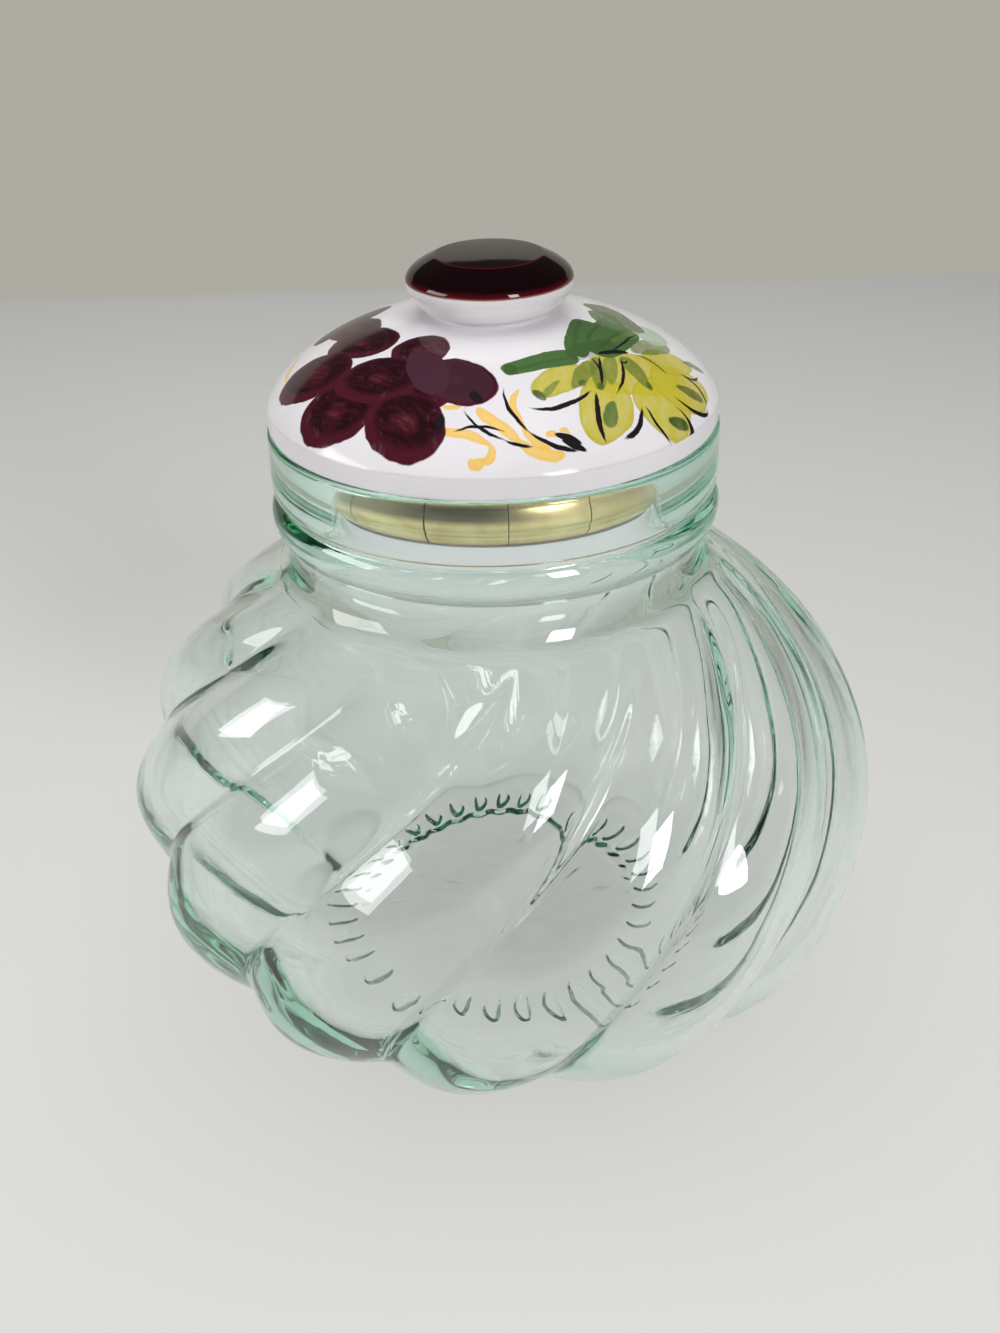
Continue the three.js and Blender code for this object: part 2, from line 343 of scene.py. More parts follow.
def slope(start, end, steps):
    """A soft slope between two points, level at both ends, without its end."""
    (start_r, start_z), (end_r, end_z) = start, end
    radii = [start_r + (end_r - start_r) * i / steps for i in range(steps)]
    return [(r, start_z + (end_z - start_z) * smoothstep(r, start_r, end_r)) for r in radii]


def make_jar(glass):
    outer_belly, inner_belly = BELLY_RADIUS - BELLY_INSET, BELLY_RADIUS - WALL
    outside = body_wall(FOOT_RADIUS, 0, outer_belly, SHOULDER_RISE, NECK_RADIUS)
    outside = [(radius, max(height, KNURL_RELIEF)) for radius, height in outside]
    inside = body_wall(FOOT_RADIUS - HEEL, FLOOR, inner_belly, SHOULDER_RISE - WALL, BORE_RADIUS)
    half = BEAD_HEIGHT / 2
    bead_end = math.degrees(math.acos((COLLAR_RADIUS - COLLAR_GROOVE - NECK_RADIUS) / BEAD_OUT))
    ring_end = BASE_RING_RADIUS + KNURL_RING_WIDTH
    base = [
        *line((0, BASE_RECESS), (RECESS_RADIUS, BASE_RECESS), RECESS_STEPS),
        *slope((RECESS_RADIUS, BASE_RECESS), (BASE_RING_RADIUS, KNURL_RELIEF), RECESS_SLOPE_STEPS),
        *line((BASE_RING_RADIUS, KNURL_RELIEF), (ring_end, KNURL_RELIEF), KNURL_RING_STEPS),
    ]
    foot = line((ring_end, KNURL_RELIEF), (FOOT_RADIUS, KNURL_RELIEF), FOOT_STEPS)
    collar_start = (COLLAR_RADIUS, COLLAR_BASE + COLLAR_GROOVE)
    collar_end = (COLLAR_RADIUS, LIP - LIP_ROUND)
    rim = [
        *arc(NECK_RADIUS, BEAD_BASE + half, BEAD_OUT, half, -90, bead_end, BEAD_STEPS),
        *[(COLLAR_RADIUS - COLLAR_GROOVE * a, COLLAR_BASE + COLLAR_GROOVE * b) for a, b in COLLAR_ROUNDING],
        *line(collar_start, collar_end, COLLAR_STEPS),
        *arc(COLLAR_RADIUS - LIP_ROUND, LIP - LIP_ROUND, LIP_ROUND, LIP_ROUND, 0, 90, ROUND_STEPS),
        *arc(BORE_RADIUS + LIP_ROUND, LIP - LIP_ROUND, LIP_ROUND, LIP_ROUND, 90, 180, ROUND_STEPS),
    ]
    floor = line((FOOT_RADIUS - HEEL, FLOOR), (0, FLOOR), FLOOR_STEPS)[1:] + [(0, FLOOR)]
    walls = [
        (base, 0, 0),
        *[([point], step / len(foot), 0) for step, point in enumerate(foot)],
        (outside, 1, 0),
        (rim, 0, 0),
        (inside[::-1], INNER_LOBE_SHARE, 1),
        (floor, 0, 1),
    ]
    shape = bmesh.new()
    lobed = shape.verts.layers.float.new("lobed")
    hollow = shape.verts.layers.float.new("hollow")
    points = []
    for wall, lobe_share, hollow_share in walls:
        for radius, height in wall:
            point = shape.verts.new((0, -radius, height))
            point[lobed], point[hollow] = lobe_share, hollow_share
            points.append(point)
    edges = [shape.edges.new(pair) for pair in zip(points, points[1:])]
    bmesh.ops.spin(
        shape, geom=points + edges, axis=(0, 0, 1), cent=(0, 0, 0),
        angle=2 * math.pi, steps=JAR_FACETS, use_merge=True,
    )
    bmesh.ops.remove_doubles(shape, verts=shape.verts, dist=MERGE_DISTANCE)
    ring = [edge for edge in shape.edges if on_knurl_ring(edge)]
    bmesh.ops.subdivide_edges(shape, edges=ring, cuts=KNURL_CUTS, use_grid_fill=True)
    for point in shape.verts:
        x, y, z = point.co
        radius, step = math.hypot(x, y), crowded(math.atan2(x, -y))
        angle = step + GROOVE_ANGLE + swirl(z)
        if z < FLOOR and not point[hollow]:
            z = z - knurl(radius, angle) + unevenness(x, y)
            radius += scallop(radius, angle)
        depth = point[lobed] * groove_depth(z)
        radius -= depth * groove_share(step, INNER_GROOVE_ROUNDING if point[hollow] else GROOVE_ROUNDING)
        shift = HOLLOW_SHIFT * point[hollow] * (1 - smoothstep(z, FLOOR, HOLLOW_SHIFT_END))
        point.co = (radius * math.sin(angle) + shift.x, -radius * math.cos(angle) + shift.y, z)
    bmesh.ops.recalc_face_normals(shape, faces=shape.faces)
    jar = finished(shape, "jar_glass", "jar", "glass_jar", [glass], JAR_SHARP)
    jar.visible_shadow = False
    jar.visible_diffuse = False


# Lid


def dome_ellipse():
    """Half width, rise and centre height of the dome through the lid's edge and the foot of the knob."""
    width = LID_RADIUS + DOME_SHOULDER
    edge_share = math.sqrt(1 - (LID_RADIUS / width) ** 2)
    knob_share = math.sqrt(1 - (KNOB_NECK_RADIUS / width) ** 2)
    rise = DOME_RISE / (knob_share - edge_share)
    return width, rise, DOME_FOOT - rise * edge_share


def dome_arc(start, end, wall, steps):
    """The dome's outline between two radii, set back from the outside by a wall."""
    width, rise, centre = dome_ellipse()
    angles = [math.degrees(math.acos(radius / (width - wall))) for radius in (start, end)]
    return arc(0, centre, width - wall, rise - wall, *angles, steps)


def make_lid(white_glaze, painted_glaze, knob_glaze):
    finishes = [white_glaze, painted_glaze, knob_glaze]
    brim = (KNOB_RADIUS, KNOB_BRIM)
    bowl_width, bowl_depth = KNOB_RADIUS - KNOB_NECK_RADIUS, KNOB_FLARE - KNOB_WAIST
    bowl = arc(KNOB_NECK_RADIUS, KNOB_BRIM, bowl_width, bowl_depth, KNOB_BOWL_START, 0, KNOB_BOWL_STEPS)
    dome = dome_arc(LID_RADIUS, KNOB_NECK_RADIUS + KNOB_FILLET, 0, DOME_STEPS)
    waist = (KNOB_NECK_RADIUS - EDGE_SUPPORT, KNOB_FOOT)
    crown_edge = (KNOB_TOP_RADIUS, KNOB_TOP - KNOB_TOP_RISE)
    crown_start = (KNOB_TOP_RADIUS - 3 * EDGE_SUPPORT, 0)
    crown = [KNOB_TOP_RADIUS, KNOB_TOP_RADIUS - EDGE_SUPPORT]
    crown += [radius for radius, _ in line(crown_start, (0, 0), KNOB_TOP_STEPS)] + [0]
    hollow = dome_arc(0, HOLLOW_RADIUS, LID_WALL, LID_HOLLOW_STEPS)
    plug_round = PLUG_BOTTOM + PLUG_ROUND
    groove_low, groove_high = BAND_BOTTOM - CLEARANCE, BAND_TOP + CLEARANCE
    outline = [
        (0, hollow[0][1]),
        *hollow[1:],
        *arc(HOLLOW_RADIUS + PLUG_ROUND, plug_round, PLUG_ROUND, PLUG_ROUND, 180, 270, PLUG_ROUND_STEPS),
        *arc(PLUG_RADIUS - PLUG_ROUND, plug_round, PLUG_ROUND, PLUG_ROUND, -90, 0, PLUG_ROUND_STEPS),
        (PLUG_RADIUS, groove_low),
        (GROOVE_RADIUS, groove_low),
        (GROOVE_RADIUS, groove_high),
        (PLUG_RADIUS, groove_high),
        (PLUG_RADIUS, LID_SEAT),
        *arc(LID_RADIUS - LID_ROUND, LID_SEAT + LID_ROUND, LID_ROUND, LID_ROUND, -90, 0, ROUND_STEPS),
        (LID_RADIUS, DOME_FOOT - EDGE_SUPPORT),
        *dome,
        *bend(dome[-1], waist, bowl[0], KNOB_WAIST_STEPS),
        *bowl,
        *bend(brim, (KNOB_RADIUS, KNOB_BRIM + KNOB_SIDE), crown_edge, KNOB_SIDE_STEPS),
        *[(radius, KNOB_TOP - KNOB_TOP_RISE * (radius / KNOB_TOP_RADIUS) ** 2) for radius in crown],
    ]
    shape = bmesh.new()
    spun(shape, outline)
    tidy(shape)
    for face in shape.faces:
        middle = face.calc_center_median()
        if middle.z > KNOB_FOOT:
            face.material_index = finishes.index(knob_glaze)
        elif middle.z > LID_SEAT and face.normal.z > 0:
            face.material_index = finishes.index(painted_glaze)
    finished(shape, "painted_lid", "lid", "ceramic_lid", finishes, LID_SHARP)


# Liner and spring band


def make_liner(rubber):
    inner, outer = LINER_RADIUS - LINER_THICKNESS, LINER_RADIUS
    outline = [(inner, BAND_BOTTOM), (outer, BAND_BOTTOM), (outer, BAND_TOP), (inner, BAND_TOP)]
    shape = bmesh.new()
    spun(shape, outline, closed=True, steps=LINER_FACETS)
    tidy(shape)
    finished(shape, "rubber_liner", "lid", "band_liner", [rubber], BAND_SHARP)


def band_outline():
    """The band's outer face from its lower edge to its upper edge, with a crease in its lower third."""
    half = BAND_HEIGHT / 2
    radius = (half ** 2 + BAND_BULGE ** 2) / (2 * BAND_BULGE)
    reach = math.degrees(math.asin(half / radius))
    crease = BAND_BOTTOM + BAND_HEIGHT * BAND_CREASE_SHARE
    points = arc(BAND_RADIUS - radius, BAND_MIDDLE, radius, radius, -reach, reach, BAND_STEPS)
    width = BAND_HEIGHT / BAND_STEPS
    return [(r - BAND_CREASE_DEPTH * math.exp(-(((z - crease) / width) ** 2)), z) for r, z in points]


def make_band(brass):
    outline = band_outline()
    strip = [point for point in outline if point[1] > BAND_TOP - BAND_STRIP]
    pitch = 2 * math.pi / BAND_LEAVES
    slit, split = BAND_SLIT / BAND_RADIUS, BAND_SPLIT / BAND_RADIUS
    shape = bmesh.new()
    for leaf in range(BAND_LEAVES):
        first, last = leaf == 0, leaf == BAND_LEAVES - 1
        start = BAND_SPLIT_ANGLE + leaf * pitch + (split if first else slit) / 2
        end = BAND_SPLIT_ANGLE + (leaf + 1) * pitch - (split if last else slit) / 2
        spun(shape, outline, start=start, sweep=end - start, steps=FACETS_PER_LEAF)
        if not last:
            spun(shape, strip, start=end, sweep=slit, steps=1)
    tidy(shape)
    bmesh.ops.solidify(shape, geom=shape.faces[:], thickness=BAND_THICKNESS)
    finished(shape, "brass_band", "band", "spring_band", [brass], BAND_SHARP)


# Finishes


class Value:
    """A node's output in a finish, with the arithmetic that the finishes are written in."""

    def __init__(self, finish, output):
        self.finish = finish
        self.output = output

    def maths(self, operation, *terms):
        return self.finish.node("ShaderNodeMath", {"operation": operation}, dict(enumerate(terms)))

    def other(self, outlet):
        """Another output of the same node."""
        return Value(self.finish, self.output.node.outputs[outlet])

    def held(self, low=0, high=1):
        """The value kept between two numbers."""
        return self.maths("MINIMUM", self.maths("MAXIMUM", self, low), high)

    def __add__(self, other):
        return self.maths("ADD", self, other)

    __radd__ = __add__

    def __sub__(self, other):
        return self.maths("SUBTRACT", self, other)

    def __rsub__(self, other):
        return self.maths("SUBTRACT", other, self)

    def __mul__(self, other):
        return self.maths("MULTIPLY", self, other)

    __rmul__ = __mul__

    def __truediv__(self, other):
        return self.maths("DIVIDE", self, other)

    def __rtruediv__(self, other):
        return self.maths("DIVIDE", other, self)


class Finish:
    """A node tree that a material or the world is written in."""

    def __init__(self, tree):
        self.tree = tree
        tree.nodes.clear()

    def node(self, kind, settings=(), inputs=(), outlet=0):
        """Adds a node: its settings first, then the values or links of its sockets."""
        made = self.tree.nodes.new(kind)
        for name, value in dict(settings).items():
            setattr(made, name, value)
        for name, value in dict(inputs).items():
            if isinstance(value, Value):
                self.tree.links.new(value.output, made.inputs[name])
            else:
                made.inputs[name].default_value = value
        return Value(self, made.outputs[outlet] if made.outputs else None)

    def place(self):
        """The point on the piece, in metres."""
        return self.node("ShaderNodeTexCoord", outlet="Object")

    def noise(self, vector, scale, detail, outlet=0):
        names = {"Vector": vector, "Scale": scale, "Detail": detail}
        return self.node("ShaderNodeTexNoise", {}, names, outlet)

    def stretched(self, vector, scale):
        """The point with each direction scaled by its own number."""
        return self.node("ShaderNodeMapping", {}, {"Vector": vector, "Scale": scale})

    def mixed(self, factor, under, over):
        """A colour between two others, by a factor of 0 to 1."""
        names = {0: factor, 6: under, 7: over}
        return self.node("ShaderNodeMix", {"data_type": "RGBA", "blend_type": "MIX"}, names, 2)

    def bumped(self, height, depth, strength):
        """A normal from a height of 0 to 1 that stands for a depth in metres."""
        names = {"Height": height, "Distance": depth, "Strength": strength}
        return self.node("ShaderNodeBump", {}, names)

    def end(self, surface, volume=None):
        links = {"Surface": surface}
        if volume is not None:
            links["Volume"] = volume
        self.node("ShaderNodeOutputMaterial", {}, links)


def new_finish(name):
    material = bpy.data.materials.new(name)
    material.use_nodes = True
    return material, Finish(material.node_tree)


def colour(red, green, blue):
    """A colour given in the 0 to 255 steps of a paint chart, as the shader's linear light."""
    def linear(step):
        share = step / 255
        return share / 12.92 if share <= 0.04045 else ((share + 0.055) / 1.055) ** 2.4
    return (linear(red), linear(green), linear(blue), 1)


GLASS_IOR = 1.52
GLASS_TINT = (0.22, 0.86, 0.60, 1)
GLASS_DENSITY = 11.5
GLASS_WAVE_STRETCH = (1, 1, 0.6)
GLASS_WAVE_SCALE = 55
GLASS_WAVE_DETAIL = 1.5
GLASS_WAVE_DEPTH = 0.5 * MM
GLASS_WAVE_STRENGTH = 0.25


def green_glass():
    """Clear recycled glass, greener where it is thick, with the faint waves of a pressed wall."""
    material, finish = new_finish("green_glass")
    place = finish.place()
    waves = finish.noise(finish.stretched(place, GLASS_WAVE_STRETCH), GLASS_WAVE_SCALE, GLASS_WAVE_DETAIL)
    glass = finish.node("ShaderNodeBsdfPrincipled", {}, {
        "Base Color": (1, 1, 1, 1),
        "Roughness": 0.0,
        "IOR": GLASS_IOR,
        "Transmission Weight": 1.0,
        "Normal": finish.bumped(waves, GLASS_WAVE_DEPTH, GLASS_WAVE_STRENGTH),
    })
    names = {"Color": GLASS_TINT, "Density": GLASS_DENSITY}
    depth = finish.node("ShaderNodeVolumeAbsorption", {}, names)
    finish.end(glass, depth)
    return material


GLAZE_WHITE = colour(240, 237, 239)
GLAZE_SHADE = colour(226, 223, 228)
GLAZE_PINK = colour(216, 204, 206)
SPECK = colour(120, 110, 108)
GLAZE_CLOUD_SCALE = 60
SPECK_SCALE = 160
SPECK_SHARPNESS = 18
SPECK_RARITY = 0.965
SPECK_FADE = 40
GLAZE_WAVE_SCALE = 90
GLAZE_WAVE_DEPTH = 0.4 * MM
GLAZE_WAVE_STRENGTH = 0.12
GLAZE_ROUGHNESS = 0.09
GLAZE_ROUGHNESS_SPREAD = 0.05
GLAZE_ROUGHNESS_SCALE = 220
GLAZE_IOR = 1.5
PAINTED_GLAZE_IOR = 1.42


def glaze_ground(finish, place):
    """White glaze with soft uneven thickness, a few kiln specks, and its surface's faint waves."""
    cloud = finish.noise(place, GLAZE_CLOUD_SCALE, 3)
    ground = finish.mixed(cloud, GLAZE_WHITE, GLAZE_SHADE)
    cells = finish.node("ShaderNodeTexVoronoi", {}, {"Vector": place, "Scale": SPECK_SCALE})
    chance = finish.node("ShaderNodeSeparateColor", {}, {"Color": cells.other("Color")})
    speck = (1 - cells * SPECK_SHARPNESS).held() * ((chance - SPECK_RARITY) * SPECK_FADE).held()
    ground = finish.mixed(speck, ground, SPECK)
    waves = finish.noise(place, GLAZE_WAVE_SCALE, 2)
    return ground, finish.bumped(waves, GLAZE_WAVE_DEPTH, GLAZE_WAVE_STRENGTH)


def glazed(finish, ground, normal, roughness=GLAZE_ROUGHNESS, refraction=PAINTED_GLAZE_IOR):
    """Ends a finish in glaze, a little uneven in its gloss."""
    gloss = finish.noise(finish.place(), GLAZE_ROUGHNESS_SCALE, 2) * GLAZE_ROUGHNESS_SPREAD + roughness
    names = {"Base Color": ground, "Roughness": gloss, "IOR": refraction, "Normal": normal}
    finish.end(finish.node("ShaderNodeBsdfPrincipled", {}, names))


def white_glaze():
    material, finish = new_finish("white_glaze")
    glazed(finish, *glaze_ground(finish, finish.place()), refraction=GLAZE_IOR)
    return material


KNOB_BLACK = colour(18, 2, 5)
KNOB_RED = colour(92, 16, 28)
KNOB_LINE = colour(154, 84, 80)
KNOB_LINE_WIDTH = 0.35 * MM
KNOB_RED_WIDTH = 1.8 * MM
KNOB_PAINT_WAVER = 0.15 * MM
KNOB_WAVER_SCALE = 120
KNOB_STREAK_STRETCH = (1, 1, 0.3)
KNOB_STREAK_SCALE = 140
KNOB_STREAKS = 0.3
KNOB_EDGE_STRENGTH = 0.7
KNOB_ROUGHNESS = 0.04


def knob_glaze():
    """White glaze painted nearly black on top, thin and red along the brim and the edge of the top."""
    material, finish = new_finish("knob_glaze")
    place = finish.place()
    ground, normal = glaze_ground(finish, place)
    parts = finish.node("ShaderNodeSeparateXYZ", {}, {0: place})
    waver = (finish.noise(place, KNOB_WAVER_SCALE, 2) - 0.5) * (2 * KNOB_PAINT_WAVER)
    above = parts.other("Z") - KNOB_BRIM + waver
    level = finish.stretched(place, (1, 1, 0))
    radius = finish.node("ShaderNodeVectorMath", {"operation": "LENGTH"}, {0: level}, "Value")
    edge = (radius + waver - KNOB_TOP_RADIUS) / KNOB_LINE_WIDTH
    streaks = finish.noise(finish.stretched(place, KNOB_STREAK_STRETCH), KNOB_STREAK_SCALE, 3)
    thickness = ((above - KNOB_LINE_WIDTH) / KNOB_RED_WIDTH + streaks * KNOB_STREAKS).held()
    paint = finish.mixed(thickness, KNOB_RED, KNOB_BLACK)
    paint = finish.mixed((above / KNOB_LINE_WIDTH - 0.5).held(), KNOB_LINE, paint)
    paint = finish.mixed((1 - edge * edge).held() * KNOB_EDGE_STRENGTH, paint, KNOB_RED)
    ground = finish.mixed((above / KNOB_LINE_WIDTH + 0.5).held(), ground, paint)
    glazed(finish, ground, normal, KNOB_ROUGHNESS)
    return material


# Pigments of the painted fruit and leaf
GRAPE_WASH = colour(76, 24, 38)
GRAPE_DARK = colour(36, 12, 19)
GRAPE_RED = colour(146, 60, 68)
# Mauve painted sheen, standing for a reflection on the glaze over the right-hand grapes
GRAPE_PAINTED_SHEEN = colour(72, 42, 54)
YELLOW = colour(198, 186, 56)
YELLOW_DEEP = colour(164, 152, 40)
LEAF_GREEN = colour(78, 110, 62)
LEAF_OLIVE = colour(110, 128, 56)
LEAF_DARK = colour(54, 80, 40)
LEAF_GREY = colour(112, 122, 88)
LEAF_PALE = colour(172, 194, 168)
OCHRE = colour(247, 208, 106)
OCHRE_DEEP = colour(230, 166, 68)
BLACK = colour(32, 28, 31)

# Grapes in plan, in millimetres from the axis: middle, half sizes, turn in degrees, share of the red middle
GRAPES = [
    ((-37.5, -24.6), (6, 3), -30, 0.1),
    ((-29.5, -36.3), (5, 3), -20, 0.1),
    ((-35.5, 11.5), (11.5, 6), 35, 0.2),
    ((-34, 2), (10, 6.2), -65, 0.4),
    ((-31.3, -9.7), (10.7, 7.2), -43, 0.28),
    ((-17, -21.8), (7.4, 6.6), -22, 0.4),
    ((-15.2, -35.4), (8.2, 5.4), -62, 0.15),
    ((-43.2, -15.8), (11.4, 7.8), -47, 0.5),
    ((-37, -33.6), (10.8, 6.8), -43, 0.35),
    ((-20.3, -44.3), (10.8, 7.2), -37, 0.42),
    ((-8.2, -35.4), (10.6, 7), -33, 0.26),
    ((-26.8, -28.8), (11.4, 7.2), -29, 0.26),
]
GRAPE_COAT_SHARE = 0.9
GRAPE_COAT_SHIFT = Vector((0.8, 0.7))
GRAPE_COAT_EDGE = 1.2
GRAPE_STREAK_TURN = math.radians(-43)
GRAPE_STREAK_SIZE = (4.5, 1.1, 1)

# Washes over the grapes, a mauve painted sheen over the right-hand grapes, and black touches at their edge:
# middle, half sizes, turn, pigment and strength
GRAPE_TOUCHES = [
    # The two mauve touches are painted sheen, a reflection on the glaze laid into the colour
    ((-15, -30.5), (9.4, 4.6), -72, GRAPE_PAINTED_SHEEN, 1.1),
    ((-8.6, -35), (10, 6.4), -33, GRAPE_PAINTED_SHEEN, 0.7),
    ((-12.6, -21.5), (4.6, 2.8), 95, GRAPE_WASH, 0.8),
    ((-3.6, -41.2), (2.4, 1.2), -50, BLACK, 1.1),
    ((-12, -46.6), (2.6, 0.9), 80, BLACK, 1.1),
]

# Yellow lobes of the leaf: middle, half sizes, turn from the tip to the stalk, and taper towards the tip
LEAF_LOBES = [
    ((32.7, -26.1), (14.2, 7), 31, 0.0),
    ((15.6, -34.6), (8.6, 4), 41, 0.1),
    ((25.8, -40), (9.2, 6.2), 69, 0.15),
    ((40.2, -31.2), (9, 6.6), -124, 0.15),
    ((45.6, -21.4), (9.6, 6), -130, 0.2),
    ((43.1, -14), (8, 4.4), -139, 0.2),
]

# Green dabs over the lobes: middle, half sizes, turn, taper, pigment and strength
LEAF_DABS = [
    ((21, -31.6), (6.2, 2.1), 65, 0.15, LEAF_OLIVE, 0.85),
    ((24.8, -29.6), (6, 2), 89, 0.1, LEAF_OLIVE, 0.85),
    ((28, -27.3), (6, 1.8), 82, 0.1, LEAF_OLIVE, 0.75),
    ((34.2, -25), (5.6, 2.4), 124, 0.3, LEAF_OLIVE, 0.9),
    ((37.3, -28.2), (1.5, 0.9), 100, 0.0, LEAF_DARK, 0.8),
    ((27.2, -41.1), (3.9, 1.7), 76, -0.25, LEAF_GREEN, 0.9),
    ((47.7, -21.8), (4.2, 1.5), 25, 0.2, LEAF_DARK, 0.8),
    ((43.7, -33.8), (3.1, 1.3), 36, 0.0, LEAF_DARK, 0.95),
    ((50.1, -7.5), (4, 1.2), 38, 0.0, LEAF_GREEN, 0.8),
    ((10.6, -40.2), (1.9, 1.2), -30, 0.0, LEAF_DARK, 0.9),
    ((13.6, -37.8), (3.6, 1), 52, -0.3, LEAF_OLIVE, 0.8),
    ((39, -10.7), (8, 3), 50, 0.0, LEAF_OLIVE, 0.85),
    ((39.8, -2.5), (6, 4.4), 83, 0.0, LEAF_PALE, 0.9),
    ((20.8, -34.6), (1.4, 1), 65, 0.0, LEAF_DARK, 0.6),
    ((25, -34.2), (1.2, 0.9), 89, 0.0, LEAF_DARK, 0.7),
]

# Broad strokes of the leaf's green back and arm, and streaks in them: as the green dabs
LEAF_BLOCKS = [
    ((31.5, 4), (9.5, 4.2), 124, 0.2, LEAF_GREY, 1.1),
    ((29, -2), (7, 3.6), 105, 0.0, LEAF_GREEN, 1.0),
    ((11.2, -29.2), (10, 2.9), 25, 0.15, LEAF_GREEN, 1.15),
    ((4.4, -32.5), (1.8, 1.7), 83, 0.0, LEAF_DARK, 0.6),
    ((21.6, -15.2), (10.2, 3.4), 80, 0.0, LEAF_GREEN, 1.25),
    ((28, -12.6), (10.4, 6.2), 60, -0.05, LEAF_GREEN, 1.25),
    ((23.8, -20.6), (7.8, 2.8), 42, 0.0, LEAF_DARK, 0.45),
    ((25.2, -9.5), (8.4, 0.7), 73, 0.0, LEAF_DARK, 0.5),
    ((29.6, -12), (9, 0.6), 62, 0.0, LEAF_DARK, 0.45),
    ((20.6, -14), (8.6, 0.6), 82, 0.0, LEAF_DARK, 0.4),
    ((33, -9), (7, 0.8), 55, 0.0, LEAF_OLIVE, 0.5),
    ((12, -29.6), (8.5, 0.6), 26, 0.0, LEAF_DARK, 0.35),
]

# Outlining strokes and sketch lines: three points that each one runs through, and its half width
STROKES = [
    ((7.6, -43.9), (15.1, -42.8), (23.1, -35.8), 0.6),
    ((24.1, -36.2), (24.2, -42.7), (25.8, -48.2), 0.7),
    ((34.6, -35.9), (33.9, -40.5), (29.7, -45.9), 0.6),
    ((35.5, -35.1), (38.1, -38.1), (41.6, -39.6), 0.5),
    ((42.5, -27.1), (46.3, -27.8), (52.5, -21.3), 0.5),
    ((45, -16.8), (49.9, -17), (52.5, -21.4), 0.5),
    ((43, -30), (46.6, -30.7), (45.1, -35.8), 0.7),
    ((45.3, -16.4), (48.2, -15.9), (51, -11.5), 0.4),
    ((34.7, -17.7), (38.9, -18.3), (42.3, -20.7), 0.35),
    ((31, -20.7), (30.8, -28), (28.7, -35.8), 0.4),
    ((25.8, -22.9), (25.6, -28.5), (25.2, -34.2), 0.5),
    ((23.3, -24.5), (24.6, -26.4), (25.3, -29.2), 0.35),
    ((25.2, -22.4), (28.9, -19.7), (33.1, -17.8), 0.9),
    ((27.7, -20.6), (32, -13.8), (36.5, -4.5), 0.35),
    ((29.9, -23), (31.2, -23.3), (32.2, -21.1), 0.35),
    ((2.4, -38.5), (4.1, -45.7), (8.4, -50), 0.5),
    ((7.3, -49.3), (12.5, -51.3), (19.6, -50.9), 0.5),
    ((-7, -43.7), (-2.8, -48.8), (3.1, -51.6), 0.4),
    ((2, -51.3), (5.3, -52.3), (9.2, -52.3), 0.4),
    ((-9.5, -48.8), (-3.1, -48.4), (2.9, -49.9), 0.4),
    ((13.6, -49.3), (16.7, -49.3), (20.2, -49.5), 0.8),
    ((15.1, -50.1), (18.1, -50.4), (21.1, -50.2), 0.7),
]

# Ochre tendrils: three points that each one runs through, and its half width
TENDRILS = [
    ((-12.6, -48.4), (-6, -49.8), (-1, -52.2), 1.1),
    ((-1.5, -51.4), (-0.6, -53.6), (-3.3, -55.1), 1.1),
    ((-2.2, -54.8), (-4.3, -55.3), (-6.3, -55), 0.9),
    ((-4, -44.1), (0.6, -47.9), (6.1, -51.8), 1.3),
    ((4.6, -51.1), (8.6, -53.1), (16.1, -52.2), 1.1),
    ((6.1, -39), (4.5, -42.8), (7.1, -49.3), 1.0),
    ((6.2, -48.3), (8.4, -50.9), (13.2, -52.1), 0.9),
    ((11.8, -49.8), (13.3, -49.2), (14.8, -49.4), 0.8),
    ((14.8, -48.3), (16, -47.8), (17.3, -48.3), 0.7),
    ((-12, -42.6), (-9.3, -43.3), (-6.6, -42.8), 0.6),
    ((-51.5, -7.6), (-51, -1.5), (-49, 4), 0.8),
]
BRUSH_WAVER = 0.45
STROKE_FULLNESS = 1.05
STROKE_EDGE = 0.12
BRUSH_EDGE = 0.22
POOL_WIDTH = 0.8
POOL_STRENGTH = 0.45
GRAPE_WASH_STRENGTH = 1.1
GRAPE_RED_STRENGTH = 1.3
OCHRE_STRENGTH = 0.95
YELLOW_STRENGTH = 0.97
STROKE_STRENGTH = 1.15


